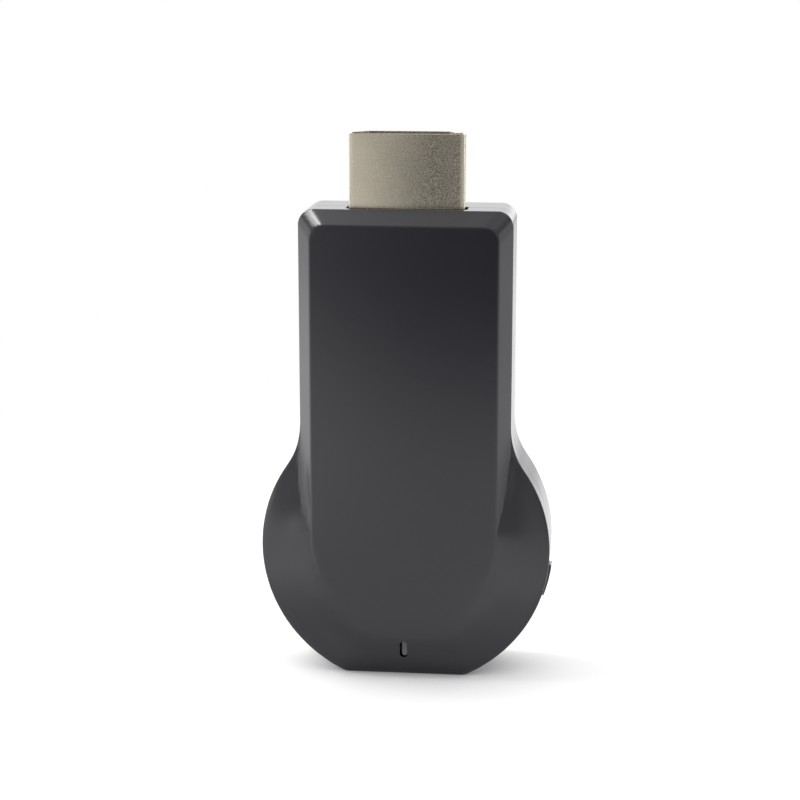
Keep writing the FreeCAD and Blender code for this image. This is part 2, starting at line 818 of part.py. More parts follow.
def make_plug_shell():
    """Sheet shell of the plug, open at both ends, with a seam behind and two solder ears."""
    body = new_body("plug_shell")
    outside = plug_sketch(body, "plug_outside", plug_rear, 0)
    pad(body, outside, S.plug_root + S.plug_length)
    inside = plug_sketch(body, "plug_inside", plug_tip, -S.plug_sheet)
    pocket(body, inside, S.plug_root + S.plug_length)
    plug_back = plug_front + S.plug_depth
    body_block(
        body,
        "plug_seam_groove",
        (-S.plug_seam / 2, plug_back - S.plug_sheet / 3, plug_rear),
        (S.plug_seam / 2, plug_back, plug_tip),
        cut=True,
    )
    for side in (-1, 1):
        outer = S.plug_width / 2
        inner = outer - S.plug_sheet
        start, end = (inner, outer) if side > 0 else (-outer, -inner)
        body_block(
            body,
            "ear_right" if side > 0 else "ear_left",
            (start, board_y - S.ear_width / 2, plug_rear - S.ear_length),
            (end, board_y + S.ear_width / 2, plug_rear),
        )
    return body


def contact_places():
    """Middle and front depth of every contact: ten in the front row, nine in the back."""
    front = board_front - S.contact_sheet
    back = board_back
    rows = ((10, front), (9, back))
    return [
        (S.contact_pitch * (number - (count - 1) / 2), depth)
        for count, depth in rows
        for number in range(count)
    ]


def contact_blocks(prefix, low, high):
    half = S.contact_width / 2
    return [
        block(
            f"{prefix}_{number}",
            (middle - half, depth, low),
            (middle + half, depth + S.contact_sheet, high),
        )
        for number, (middle, depth) in enumerate(contact_places(), start=1)
    ]


def make_plug_insulator():
    """Insulator that fills the plug's rear and lines its mouth."""
    body = new_body("plug_filling")
    section = plug_sketch(body, "filling_section", plug_rear, -S.plug_sheet)
    pad(body, section, S.plug_root + S.plug_length - S.plug_recess)
    half = S.tongue_slot_width / 2
    front = plug_tip - S.plug_recess
    body_block(
        body,
        "tongue_slot",
        (-half, board_front - S.contact_sheet, plug_tip - S.tongue_slot_length),
        (half, board_back + S.contact_sheet, front),
        cut=True,
    )
    channels = contact_blocks("channel", plug_rear, plug_tip - S.tongue_slot_length)
    return without("plug_insulator", body, joined("contact_channels", channels))


def make_plug_contacts():
    front = plug_tip - S.plug_recess - S.contact_recess
    return group(
        "plug_contacts", contact_blocks("plug_contact", plug_rear - S.contact_tail, front)
    )


# Circuit board and what it carries

def make_board():
    """Board with the housing's inner outline, its pin holes and its notches."""
    body = new_body("main_board")
    sketch = front_sketch(body, "board_outline", board_back)
    draw_outline(sketch, board_inset, board_top)
    pad(body, sketch, S.board_sheet)
    for number, (side, x, z, root) in enumerate(POSTS, start=1):
        body_post(
            body,
            f"pin_hole_{number}",
            (x * side, z),
            S.pin_radius + S.pin_gap,
            board_front,
            board_back,
            cut=True,
        )
    for side in (-1, 1):
        outer = S.plug_width / 2 + S.board_top_gap
        inner = S.plug_width / 2 - S.plug_sheet - S.board_top_gap
        start, end = (inner, outer) if side > 0 else (-outer, -inner)
        body_block(
            body,
            "ear_notch_right" if side > 0 else "ear_notch_left",
            (start, board_front, plug_rear - S.ear_length - S.board_top_gap),
            (end, board_back, board_top),
            cut=True,
        )
    cut_switch_notch(body)
    return body


switch_outer = (
    S.disc_radius
    - S.wall
    - S.flange_gap
    - S.flange_sheet
    - S.nub_length
    - S.press_gap
    - S.plunger_proud
)
switch_inner = switch_outer - S.switch_radial


def cut_switch_notch(body):
    """Room in the board for the switch body, and for the button's flange at full travel."""
    gap = S.board_top_gap
    edge = S.disc_radius
    half = S.switch_width / 2 + S.plunger_gap
    axis_cut(
        body,
        "switch_notch",
        (switch_inner - S.plunger_gap, board_front, -half),
        (edge, board_back, half),
    )
    flange = S.disc_radius - S.wall - S.flange_gap - S.flange_sheet - S.travel - gap
    reach = S.button_length / 2 + S.flange_margin + gap
    axis_cut(body, "flange_notch", (flange, board_front, -reach), (edge, board_back, reach))


def part_size(name):
    """Middle across, middle height, width, height and thickness of a small part."""
    x, z, width, height, thickness = (getattr(S, f"{name}_{field}") for field in FIELDS)
    if name in SIDE_PARTS:
        x = x - S.disc_radius
    if name in LOW_PARTS:
        middle = disc_z + z
    elif name in MIDDLE_PARTS:
        middle = halfway_z - z
    else:
        middle = board_top - z
    return x, middle, width, height, thickness


def front_part(name, x, z, width, height, thickness):
    return centred(name, x, z, width, height, board_front - thickness, board_front)


def back_part(name, x, z, width, height, thickness):
    return centred(name, x, z, width, height, board_back, board_back + thickness)


def make_leaded_chip(name, pitch, count):
    """A small chip on the board's front with two rows of leads."""
    x, z, width, height, thickness = part_size(name)
    pieces = [front_part(f"{name}_case", x, z, width, height, thickness)]
    out = width / 2 + S.lead_length / 2
    for number in range(count):
        lead_z = z + pitch * (number - (count - 1) / 2)
        for side, word in ((-1, "left"), (1, "right")):
            pieces.append(
                front_part(
                    f"{name}_lead_{word}_{number}",
                    x + out * side,
                    lead_z,
                    S.lead_length,
                    S.lead_width,
                    S.lead_sheet,
                )
            )
    return joined(name, pieces)


def part_row(maker, name, count, spacing, first_number):
    """A level row of like small parts about the table's place."""
    x, z, width, height, thickness = part_size(name)
    return [
        maker(
            f"{name}_{first_number + number}",
            x + spacing * (number - (count - 1) / 2),
            z,
            width,
            height,
            thickness,
        )
        for number in range(count)
    ]


def make_processor_stack():
    """Processor, thermal pad and heat spreader, stacked on the board's back."""
    chip = back_part("main_chip", 0, chip_z, S.chip_size, S.chip_size, S.chip_sheet)
    start = board_back + S.chip_sheet
    thermal = centred(
        "thermal_pad", 0, chip_z, S.chip_size, S.chip_size, start, start + S.pad_sheet
    )
    plate = centred(
        "heat_spreader",
        0,
        chip_z,
        S.spreader_width,
        S.spreader_height,
        spreader_y,
        spreader_y + S.spreader_sheet,
    )
    return [chip, thermal, plate]


def make_radio():
    """Radio chip under its can, and the antenna near the disc's lower edge."""
    chip = front_part("wifi_chip", *part_size("wifi_chip"))
    can = front_part("can_outside", 0, shield_z, S.shield_width, S.shield_height, S.shield_depth)
    room = front_part(
        "can_inside",
        0,
        shield_z,
        S.shield_width - S.shield_sheet * 2,
        S.shield_height - S.shield_sheet * 2,
        S.shield_depth - S.shield_sheet,
    )
    antenna = front_part("chip_antenna", *part_size("chip_antenna"))
    return [chip, without("wifi_shield", can, room), antenna]


def make_inductor():
    """A square foot with a slightly smaller core on it."""
    x, z, width, height, thickness = part_size("power_inductor")
    step = S.inductor_step * 2
    foot = front_part("inductor_foot_plate", x, z, width, height, S.inductor_foot)
    core = front_part("inductor_core", x, z, width - step, height - step, thickness)
    return joined("power_inductor", [foot, core])


def make_small_parts():
    """The rest of the board: memory, flash, supply, clock, lamp and passive parts."""
    front_caps = part_row(front_part, "front_capacitor", 4, S.front_capacitor_spacing, 1)
    back_caps = part_row(back_part, "back_capacitor", 4, S.back_capacitor_spacing, 1)
    front_row = part_row(front_part, "front_resistor", 4, S.resistor_spacing, 1)
    back_row = part_row(back_part, "back_resistor", 4, S.resistor_spacing, 1)
    return [
        back_part("memory_chip", *part_size("memory_chip")),
        make_leaded_chip("flash_chip", S.flash_pitch, 4),
        make_leaded_chip("regulator", S.regulator_pitch, 3),
        make_inductor(),
        back_part("crystal", *part_size("crystal")),
        group("capacitors", front_caps + back_caps),
        group("resistors", front_row + back_row),
        front_part("status_led", 0, S.pipe_z, S.lamp_width, S.lamp_height, S.lamp_sheet),
    ]


# Power inlet

def inlet_outline(grow):
    """The inlet's cross-section: its sides slope in at the front, towards the board."""
    half = S.inlet_width.number / 2 + grow
    front = board_back.number - grow
    back = board_back.number + S.inlet_depth.number + grow
    slope = S.inlet_corner.number
    return [
        line((slope - half, front), (half - slope, front)),
        line((half - slope, front), (half, front + slope)),
        line((half, front + slope), (half, back)),
        line((half, back), (-half, back)),
        line((-half, back), (-half, front + slope)),
        line((-half, front + slope), (slope - half, front)),
    ]


def make_inlet():
    """Micro power inlet on the board's back: shell, tongue and five contacts."""
    shell = new_body("usb_shell")
    mouth = S.inlet_recess
    end = mouth + S.inlet_length
    section = new_sketch(shell, "inlet_outside", "XY_Plane", mouth)
    draw(section, inlet_outline(0))
    pad(shell, section, S.inlet_length)
    hole = new_sketch(shell, "inlet_inside", "XY_Plane", end - S.inlet_sheet)
    draw(hole, inlet_outline(-S.inlet_sheet.number))
    pocket(shell, hole, S.inlet_length - S.inlet_sheet)

    root = new_body("usb_tongue")
    block_low = end - S.inlet_sheet - S.tongue_root
    filling = new_sketch(root, "tongue_root", "XY_Plane", block_low)
    draw(filling, inlet_outline(-S.inlet_sheet.number))
    pad(root, filling, S.tongue_root)
    half = S.tongue_width / 2
    tongue_front = board_back + S.inlet_depth / 2 - S.tongue_sheet / 2
    body_block(
        root,
        "tongue",
        (-half, tongue_front, mouth + S.tongue_recess),
        (half, tongue_front + S.tongue_sheet, block_low),
    )
    strips = []
    for number in range(5):
        middle = S.inlet_contact_pitch * (number - 2)
        strips.append(
            block(
                f"inlet_contact_{number + 1}",
                (
                    middle - S.inlet_contact_width / 2,
                    tongue_front - S.inlet_contact_sheet,
                    mouth + S.tongue_recess * 2,
                ),
                (middle + S.inlet_contact_width / 2, tongue_front, block_low),
            )
        )
    return [shell, root, group("usb_contacts", strips)]


# Button and switch, modelled along +X and then turned onto the button's axis

def turn_onto_axis(thing):
    thing.Placement = on_button_axis()
    return thing


def make_button():
    """Cap with a curved face like the side wall's, an inner flange and a nub."""
    wall_in = S.disc_radius - S.wall
    flange_in = wall_in - S.flange_gap - S.flange_sheet
    half = S.button_length / 2
    deep = S.button_depth / 2
    more = S.flange_margin
    face = S.disc_radius + S.button_proud
    cap = block("button_cap", (flange_in, board_y - deep, -half), (face, board_y + deep, half))
    doc.recompute()
    soft_cap = doc.addObject("Part::Fillet", "button_soft_cap")
    soft_cap.Base = cap
    radius = S.button_corner.number
    far = flange_in.number + 0.5
    corners = edges_where(
        cap.Shape,
        lambda point: point.x > flange_in.number - 1e-6,
    )
    soft_cap.Edges = [
        (int(name[4:]), radius, radius)
        for name in corners
        if cap.Shape.Edges[int(name[4:]) - 1].CenterOfMass.x > far
        and abs(cap.Shape.Edges[int(name[4:]) - 1].tangentAt(0).x) > 0.9
    ]
    round_face = doc.addObject("Part::Cylinder", "button_round_face")
    round_face.Placement = Placement(Vector(), Rotation(Vector(1, 0, 0), -90))
    bind(round_face, Radius=face, Height=S.button_depth * 2)
    place(round_face, 0, board_y - S.button_depth, 0)
    curved_cap = doc.addObject("Part::Common", "button_curved_cap")
    curved_cap.Base = soft_cap
    curved_cap.Tool = round_face
    plate = block(
        "button_flange",
        (flange_in, board_y - deep - more, -half - more),
        (wall_in, board_y + deep + more, half + more),
    )
    round_wall = doc.addObject("Part::Cylinder", "button_round_flange")
    round_wall.Placement = Placement(Vector(), Rotation(Vector(1, 0, 0), -90))
    bind(round_wall, Radius=wall_in - S.flange_gap, Height=S.button_depth * 2)
    place(round_wall, 0, board_y - S.button_depth, 0)
    curved_plate = doc.addObject("Part::Common", "button_curved_flange")
    curved_plate.Base = plate
    curved_plate.Tool = round_wall
    nub = block(
        "button_nub",
        (flange_in - S.nub_length, board_y - S.switch_depth / 4, -S.nub_width / 2),
        (flange_in, board_y + S.switch_depth / 4, S.nub_width / 2),
    )
    return turn_onto_axis(joined("function_button", [curved_cap, curved_plate, nub]))


def make_switch():
    """Side switch let into the board's notch: body, cover, snap leaf and plunger."""
    half = S.switch_width / 2
    front = board_front
    back = front + S.switch_depth
    room_outer = switch_outer - S.switch_wall
    room_inner = switch_inner + S.switch_wall
    room_half = half - S.switch_wall
    stem_half_width = S.plunger_width / 2
    gap = S.plunger_gap
    case = block("switch_case", (switch_inner, front, -half), (switch_outer, back, half))
    room = block(
        "switch_room",
        (room_inner, front, -room_half),
        (room_outer, back - S.switch_wall, room_half),
    )
    passage = block(
        "switch_passage",
        (room_outer, front, -stem_half_width - gap),
        (switch_outer, back - S.switch_wall, stem_half_width + gap),
    )
    body = without("switch_body", case, joined("switch_inside", [room, passage]))
    reach = half + S.frame_reach
    plate = block(
        "switch_plate",
        (switch_inner + S.switch_wall / 2, front - S.frame_sheet, -reach),
        (switch_outer - S.switch_wall / 2, front, reach),
    )
    cover = group("switch_frame", [plate])
    flange_outer = room_outer - gap
    flange = block(
        "plunger_flange_plate",
        (flange_outer - S.plunger_flange, front + gap, -room_half + S.switch_wall / 2),
        (flange_outer, back - S.switch_wall - gap, room_half - S.switch_wall / 2),
    )
    stem = block(
        "plunger_stem",
        (flange_outer, front + gap, -stem_half_width),
        (switch_outer + S.plunger_proud, back - S.switch_wall - gap, stem_half_width),
    )
    plunger = joined("switch_plunger", [flange, stem])
    leaf = make_snap_leaf(room_inner, front, back, room_half)
    return [turn_onto_axis(piece) for piece in (body, cover, plunger, leaf)]


def make_snap_leaf(room_inner, front, back, room_half):
    """Arched leaf behind the plunger; its crown stays clear at full travel."""
    crown = S.travel
    across = room_half.number - S.plunger_gap.number
    low = front.number + S.plunger_gap.number
    tall = back.number - S.switch_wall.number - S.plunger_gap.number - low
    rise = crown.number / 2
    x = room_inner.number
    sheet = S.dome_sheet.number
    outer = Part.Arc(
        Vector(x + sheet, low, -across), Vector(x + rise + sheet, low, 0), Vector(x + sheet, low, across)
    )
    inner = Part.Arc(Vector(x, low, across), Vector(x + rise, low, 0), Vector(x, low, -across))
    ends = [
        Part.LineSegment(Vector(x + sheet, low, across), Vector(x, low, across)),
        Part.LineSegment(Vector(x, low, -across), Vector(x + sheet, low, -across)),
    ]
    wire = Part.Wire([outer.toShape(), ends[0].toShape(), inner.toShape(), ends[1].toShape()])
    leaf = doc.addObject("Part::Feature", "switch_dome")
    leaf.Label = "switch_dome"
    leaf.Shape = Part.Face(wire).extrude(Vector(0, tall, 0))
    return leaf


# Build, check and write

def make_nodes():
    nodes = [make_front_shell(), make_back_shell(), make_light_pipe()]
    nodes += [make_plug_shell(), make_plug_insulator(), make_plug_contacts()]
    nodes += [make_board()]
    nodes += make_processor_stack()
    nodes += make_radio()
    nodes += make_small_parts()
    nodes += make_inlet()
    nodes += [make_button()]
    nodes += make_switch()
    return nodes


def check_document(nodes):
    """Stops if any object failed, or if a node's shape is missing or not valid."""
    for thing in doc.Objects:
        failed = {"Invalid", "Error"} & set(thing.State)
        if failed:
            raise RuntimeError(f"{thing.Label}: {sorted(failed)}")
    for node in nodes:
        if node.Shape.isNull() or not node.Shape.isValid():
            raise RuntimeError(f"{node.Label}: the shape is not valid")
        if not node.Shape.Solids:
            raise RuntimeError(f"{node.Label}: no solid")


def centre_on_box(nodes):
    """Moves all nodes sideways so that the origin is the middle of the whole box."""
    whole = FreeCAD.BoundBox()
    for node in nodes:
        whole.add(node.Shape.optimalBoundingBox(False))
    shift = Vector(-(whole.XMin + whole.XMax) / 2, 0, 0)
    shapes = {}
    for node in nodes:
        shape = node.Shape.copy()
        shape.translate(shift)
        shapes[node.Label] = shape
    return shapes, shift


def write_nodes(shapes):
    os.makedirs("parts", exist_ok=True)
    for label, shape in shapes.items():
        shape.exportStep(f"parts/{label}.step")


nodes = make_nodes()
doc.recompute()
check_document(nodes)
shapes, shift = centre_on_box(nodes)
write_nodes(shapes)
print(f"sideways shift {shift.x:.4f} mm")
for label, shape in shapes.items():
    print(f"{label}: {len(shape.Solids)} solids, {shape.Volume:.2f} mm3")
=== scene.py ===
"""The wireless display dongle's looks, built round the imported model, in a pale studio."""

import math

import bmesh
import bpy
from mathutils import Matrix, Vector
from mathutils.bvhtree import BVHTree


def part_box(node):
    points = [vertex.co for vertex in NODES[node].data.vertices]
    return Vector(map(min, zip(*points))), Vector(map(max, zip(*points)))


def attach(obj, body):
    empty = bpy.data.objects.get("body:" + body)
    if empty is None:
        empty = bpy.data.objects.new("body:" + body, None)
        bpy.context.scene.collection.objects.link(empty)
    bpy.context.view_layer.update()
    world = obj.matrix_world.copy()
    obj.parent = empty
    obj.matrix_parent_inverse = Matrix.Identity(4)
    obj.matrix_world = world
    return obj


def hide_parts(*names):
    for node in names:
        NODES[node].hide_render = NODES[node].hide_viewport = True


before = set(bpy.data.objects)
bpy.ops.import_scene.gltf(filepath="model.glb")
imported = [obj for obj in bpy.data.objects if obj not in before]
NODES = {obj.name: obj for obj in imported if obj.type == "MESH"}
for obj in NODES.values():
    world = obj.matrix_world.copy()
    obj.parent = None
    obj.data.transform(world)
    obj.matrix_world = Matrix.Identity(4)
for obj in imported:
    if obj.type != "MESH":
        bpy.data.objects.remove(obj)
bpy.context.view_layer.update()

MM = 0.001
BODY_OF = {
    "function_button": "button",
    "switch_plunger": "plunger",
}

# Places on the covers and the plug
MIDDLE = sum(corner[0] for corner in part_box("front_shell")) / 2
SEAM_Y = -0.7 * MM
RIM_Y = -4.0 * MM
FACE_HALF = 11.3 * MM
FACE_TOP = 56.3 * MM
NECK_LOW = 29.4 * MM
NECK_HIGH = 31.8 * MM
COVER_HALF = 17.6 * MM
COVER_TOP = 58 * MM
PLUG_HALF = 6.5 * MM

# How close places have to be to count as the same, to be merged, and to lie on a cut
SAME = 1e-6
MERGE = 2e-7
ON_CUT = 1e-7

# Where the test for outer faces starts: mm in from a corner, and metres off the face
INSET = 0.05
OFF_FACE = 5e-6

# Turns between faces that count as flat, as sharp, and as one for shading
FLAT_TURN = math.radians(0.4)
SHARP_TURN = math.radians(28)
FACE_TURN = math.radians(30)
ROUNDING_TURN = math.radians(60)

# The front cover's net: its pitch, the lines close to the flat face's edges in mm, and
# how far round a point its depth is taken in mm, with what comes on top at the run-outs
NET = 0.4 * MM
NEAR = (-0.16, -0.08, 0.0, 0.08, 0.16)
REACH = 0.13
REACH_MORE = 0.6

# A face looks to the front when the y of its normal lies below this
FRONTWARD = -0.3

# The plug's front sheet, how far it is bowed, and how far apart it is cut for that
SHEET = 0.3 * MM
BOW = 0.25 * MM
BOW_PITCH = 0.5 * MM

# The shares of the light bar's width and height that it keeps
BAR_WIDTH = 0.87
BAR_HEIGHT = 0.96


# Materials

class NodeTree:
    """A node tree, with short calls to add and join its nodes."""

    def __init__(self, tree):
        self.tree = tree

    def node(self, kind, inputs=None, **settings):
        """Adds a node, with its settings and what its inputs take."""
        made = self.tree.nodes.new(f"ShaderNode{kind}")
        for key, value in settings.items():
            setattr(made, key, value)
        for key, value in (inputs or {}).items():
            self.feed(made.inputs[key], value)
        return made

    def feed(self, socket, value):
        """Joins the socket to another socket, or sets its number."""
        if isinstance(value, bpy.types.NodeSocket):
            self.tree.links.new(value, socket)
        else:
            socket.default_value = value

    def calc(self, operation, *values):
        """The result of one sum on sockets or numbers."""
        return self.node("Math", dict(enumerate(values)), operation=operation).outputs[0]

    def between(self, value, low, high, start=0.3, end=0.7, kind="LINEAR"):
        """A ramp: low up to where the value is start, and high from end on."""
        made = self.node(
            "MapRange",
            {
                "Value": value,
                "From Min": start,
                "From Max": end,
                "To Min": low,
                "To Max": high,
            },
            interpolation_type=kind,
        )
        return made.outputs["Result"]

    def smooth(self, value, low, high, start, end):
        """The same ramp with soft ends."""
        return self.between(value, low, high, start, end, "SMOOTHSTEP")

    def mix(self, share, first, second):
        """Number that goes from first to second with the share."""
        made = self.node("Mix", {0: share, 2: first, 3: second}, data_type="FLOAT")
        return made.outputs[0]

    def blend(self, share, first, second):
        """Colour that goes from first to second with the share."""
        made = self.node("Mix", {0: share, 6: first, 7: second}, data_type="RGBA")
        return made.outputs[2]


class Shader(NodeTree):
    """A material with its node tree."""

    def __init__(self, name):
        self.material = bpy.data.materials.new(name)
        self.material.use_nodes = True
        super().__init__(self.material.node_tree)
        self.surface = self.tree.nodes["Principled BSDF"]

    def set(self, **values):
        for key, value in values.items():
            self.feed(self.surface.inputs[key.replace("_", " ")], value)

    def noise(self, size, detail=2.0, roughness=0.5):
        """Noise whose grains are about size metres; its value from 0 to 1."""
        texture = self.node(
            "TexNoise",
            {
                "Vector": self.node("TexCoord").outputs["Object"],
                "Scale": 1 / size,
                "Detail": detail,
                "Roughness": roughness,
            },
        )
        return texture.outputs["Fac"]

    def bump(self, height, depth):
        """Relief from the height's value, as deep as the depth in metres."""
        made = self.node("Bump", {"Height": height, "Distance": depth, "Strength": 1.0})
        self.feed(self.surface.inputs["Normal"], made.outputs["Normal"])


def colour(red, green, blue):
    """A colour written in screen values from 0 to 255."""
    values = []
    for value in (red, green, blue):
        share = value / 255
        values.append(share / 12.92 if share <= 0.04045 else ((share + 0.055) / 1.055) ** 2.4)
    return (*values, 1)


def plastic(name, first, second, roughness, grain, depth, ior=1.5):
    """Moulded plastic: two near colours in soft clouds, and a fine eroded grain."""
    shader = Shader(name)
    clouds = shader.noise(0.006, detail=3)
    speckle = shader.noise(grain, detail=1)
    shader.set(
        Base_Color=shader.blend(clouds, colour(*first), colour(*second)),
        Roughness=shader.between(clouds, roughness - 0.01, roughness + 0.01),
        IOR=ior,
    )
    shader.bump(speckle, depth)
    return shader.material


def metal(name, first, second, low, high, grain, depth):
    """Plated metal: warm and cool clouds, a satin grain and changing roughness."""
    shader = Shader(name)
    clouds = shader.noise(0.004, detail=4)
    speckle = shader.noise(grain, detail=2, roughness=0.7)
    shader.set(
        Base_Color=shader.blend(clouds, colour(*first), colour(*second)),
        Metallic=1.0,
        Roughness=shader.between(speckle, low, high),
    )
    shader.bump(speckle, depth)
    return shader.material


# Two colours, roughness, grain and its depth in metres, and for the covers their IOR
PLASTICS = {
    "shell_plastic": ((22, 22, 31), (20, 20, 28), 0.23, 9e-5, 0.6e-6, 1.58),
    "button_plastic": ((26, 26, 28), (20, 20, 22), 0.3, 1.2e-4, 1e-6),
    "light_pipe_plastic": ((122, 123, 124), (112, 113, 115), 0.2, 2e-4, 1e-6),
    "insulator_plastic": ((24, 24, 26), (17, 17, 19), 0.45, 1.5e-4, 2e-6),
    "board_mask": ((20, 58, 40), (14, 44, 32), 0.28, 3e-4, 4e-6),
    "chip_plastic": ((34, 34, 35), (26, 26, 27), 0.55, 8e-5, 3e-6),
    "pad_silicone": ((126, 134, 150), (108, 116, 132), 0.7, 2e-4, 6e-6),
    "antenna_ceramic": ((208, 212, 210), (188, 192, 192), 0.4, 1e-4, 2e-6),
    "ferrite": ((58, 56, 56), (44, 42, 43), 0.6, 1.2e-4, 6e-6),
    "capacitor_ceramic": ((176, 148, 112), (152, 124, 92), 0.4, 8e-5, 2e-6),
    "resistor_film": ((36, 36, 38), (26, 26, 28), 0.35, 8e-5, 1e-6),
    "lamp_resin": ((232, 230, 214), (214, 210, 188), 0.3, 1e-4, 1e-6),
    "switch_plastic": ((40, 40, 42), (30, 30, 32), 0.45, 1e-4, 2e-6),
}

# Two colours, lowest and highest roughness, grain and its depth in metres
METALS = {
    "plug_nickel": ((216, 208, 189), (196, 188, 171), 0.18, 0.32, 1.4e-4, 1.6e-6),
    "contact_gold": ((226, 182, 92), (205, 158, 74), 0.18, 0.3, 1e-4, 1e-6),
    "inlet_steel": ((190, 190, 188), (165, 165, 164), 0.22, 0.38, 1e-4, 2e-6),
    "spreader_aluminium": ((205, 207, 208), (184, 186, 188), 0.3, 0.45, 1.5e-4, 3e-6),
    "can_tin": ((196, 196, 192), (172, 172, 170), 0.25, 0.4, 2e-4, 2e-6),
    "crystal_can": ((204, 202, 196), (182, 180, 174), 0.2, 0.32, 1.5e-4, 1e-6),
}

FINISHES = {
    "front_shell": "shell_plastic",
    "back_shell": "shell_plastic",
    "function_button": "button_plastic",
    "light_pipe": "light_pipe_plastic",
    "plug_shell": "plug_nickel",
    "plug_insulator": "insulator_plastic",
    "plug_contacts": "contact_gold",
    "main_board": "board_mask",
    "main_chip": "chip_plastic",
    "thermal_pad": "pad_silicone",
    "heat_spreader": "spreader_aluminium",
    "wifi_chip": "chip_plastic",
    "wifi_shield": "can_tin",
    "chip_antenna": "antenna_ceramic",
    "memory_chip": "chip_plastic",
    "flash_chip": "chip_plastic",
    "regulator": "chip_plastic",
    "power_inductor": "ferrite",
    "crystal": "crystal_can",
    "capacitors": "capacitor_ceramic",
    "resistors": "resistor_film",
    "status_led": "lamp_resin",
    "usb_shell": "inlet_steel",
    "usb_tongue": "insulator_plastic",
    "usb_contacts": "contact_gold",
    "switch_body": "switch_plastic",
    "switch_frame": "inlet_steel",
    "switch_plunger": "switch_plastic",
    "switch_dome": "inlet_steel",
}


def paint(thing, material):
    """Gives the thing this material alone."""
    thing.data.materials.clear()
    thing.data.materials.append(material)


materials = {name: plastic(name, *values) for name, values in PLASTICS.items()}
materials.update({name: metal(name, *values) for name, values in METALS.items()})
for name, finish in FINISHES.items():
    paint(NODES[name], materials[finish])


# Soft edges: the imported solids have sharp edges, and the moulded pieces don't

def form_tree(meshes):
    """The meshes' faces in one tree, to cast rays at."""
    places, corners = [], []
    for mesh in meshes:
        start = len(places)
        places += [vertex.co.copy() for vertex in mesh.vertices]
        corners += [[start + index for index in face.vertices] for face in mesh.polygons]
    return BVHTree.FromPolygons(places, corners)


SURFACE = form_tree([node.data for node in NODES.values()])


def is_outside(face):
    """Whether nothing of the object lies in front of most of the face's corners."""
    free = 0
    for corner in face.loops:
        inward = corner.calc_tangent() * INSET * MM
        start = corner.vert.co + inward + face.normal * OFF_FACE
        free += SURFACE.ray_cast(start, face.normal)[0] is None
    return 2 * free > len(face.loops)


def corner_normals(form, rounded):
    """Shading normals that keep the faces flat and let only the roundings turn.

    At a face's corner they are the mean of its smooth neighbours', and at a rounding's
    corner those of the faces that it leads to.
    """
    normals = []
    for face in form.faces:
        limit = math.cos(ROUNDING_TURN if face in rounded else FACE_TURN)
        for corner in face.loops:
            near = [
                other for other in corner.vert.link_faces if other.normal.dot(face.normal) > limit
            ]
            plain = [other for other in near if other not in rounded]
            total = Vector()
            for other in plain or near:
                total += other.normal * other.calc_area()
            normals.append(total.normalized() if total.length else face.normal.copy())
    return normals


def edges_by_size(form, width, minor, upright, spare):
    """The form's outer edges that are to be rounded, in lists by the size of rounding."""
    outside = {face.index: is_outside(face) for face in form.faces}
    groups = {}
    for edge in form.edges:
        if len(edge.link_faces) != 2 or edge.calc_face_angle_signed(0.0) < SHARP_TURN:
            continue
        share = sum(outside[face.index] for face in edge.link_faces)
        along = edge.verts[1].co - edge.verts[0].co
        size = (None, minor, width)[share]
        if all(abs(vertex.co.y - SEAM_Y) < SAME for vertex in edge.verts):
            size = minor
        if spare and share == 2 and spare(edge):
            continue
        if size and upright and abs(along.z) > 0.9 * along.length:
            size = upright
        if size:
            groups.setdefault(size, []).append(edge)
    return sorted(groups.items(), reverse=True)


def soften(node, name, width, minor, upright=None, segments=2, spare=None, finish=None):
    """Puts a copy of the node with rounded outer edges in its place.

    Edges between two outer faces get the width, those of openings and seams the minor one,
    and upright ones their own where it is given. Inner edges, and those that spare holds
    for, stay as they are. The finish is called last, with the faces of the roundings.
    """
    form = bmesh.new()
    form.from_mesh(NODES[node].data)
    bmesh.ops.remove_doubles(form, verts=form.verts, dist=MERGE)
    bmesh.ops.dissolve_limit(form, angle_limit=FLAT_TURN, verts=form.verts, edges=form.edges)
    form.normal_update()
    rounded = set()
    for size, edges in edges_by_size(form, width, minor, upright, spare):
        made = bmesh.ops.bevel(
            form,
            geom=[edge for edge in edges if edge.is_valid],
            offset=size,
            offset_type="OFFSET",
            segments=segments,
            profile=0.5,
            affect="EDGES",
            clamp_overlap=False,
            loop_slide=True,
        )
        rounded.update(made["faces"])
    if finish:
        finish(form, rounded)
    low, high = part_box(node)
    for vertex in form.verts:
        vertex.co = [min(max(vertex.co[i], low[i]), high[i]) for i in range(3)]
    form.normal_update()
    normals = corner_normals(form, rounded)
    mesh = bpy.data.meshes.new(name)
    form.to_mesh(mesh)
    form.free()
    piece = bpy.data.objects.new(name, mesh)
    bpy.context.scene.collection.objects.link(piece)
    for polygon in mesh.polygons:
        polygon.use_smooth = True
    mesh.normals_split_custom_set(normals)
    paint(piece, NODES[node].data.materials[0])
    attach(piece, BODY_OF.get(node, "housing"))
    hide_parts(node)


def on_front_form(edge):
    """Edges of the front cover's own form, and of its rim where the neck is too narrow."""
    first, second = (vertex.co for vertex in edge.verts)
    narrow = min(first.z, second.z) > NECK_LOW and max(first.z, second.z) < NECK_HIGH
    return min(first.y, second.y) < RIM_Y - SAME or (narrow and first.y < RIM_Y + SAME)


def cut_strips(form, faces, axis, places):
    """Cuts the faces at each place along the axis and returns all the faces."""
    done = []
    normal = Vector([float(number == axis) for number in range(3)])
    rest = list(faces)
    for place in sorted(places):
        parts = set(rest)
        for face in rest:
            parts.update(face.edges)
            parts.update(face.verts)
        made = bmesh.ops.bisect_plane(
            form, geom=list(parts), dist=ON_CUT, plane_co=normal * place, plane_no=normal
        )
        rest = []
        for face in made["geom"]:
            if isinstance(face, bmesh.types.BMFace):
                beyond = face.calc_center_median()[axis] > place
                (rest if beyond else done).append(face)
    return done + rest


